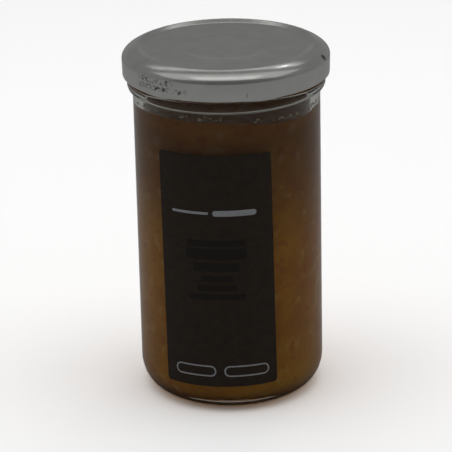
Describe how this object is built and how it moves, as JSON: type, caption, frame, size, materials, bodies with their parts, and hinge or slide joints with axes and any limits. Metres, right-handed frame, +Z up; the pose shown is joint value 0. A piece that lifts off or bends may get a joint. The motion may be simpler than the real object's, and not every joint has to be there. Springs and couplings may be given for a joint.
{
  "type": "marmalade jar",
  "caption": "Straight-sided clear glass jar filled with orange marmalade, shut with a metal twist-off lid, with a dark paper label wrapped part way round it.",
  "frame": {"origin": "centre of the jar's base, on the surface that it stands on", "axes": "+Z up along the jar's axis; -Y is the front, and the label's middle lies 8.75 degrees round from it towards -X"},
  "size_m": [0.0692, 0.0692, 0.1204],
  "materials": {
    "jar_glass": "clear moulded glass with a faint green-grey tint, glossy",
    "lid_metal": "thin tinplate with a satin silver-grey lacquer",
    "orange_marmalade": "moist translucent orange-brown jelly with shreds of peel",
    "label_paper": "matt very dark brown coated paper"
  },
  "bodies": {
    "root": {"glass_jar": "jar_glass", "lid": "lid_metal", "marmalade": "orange_marmalade", "label": "label_paper"}
  },
  "joints": []
}
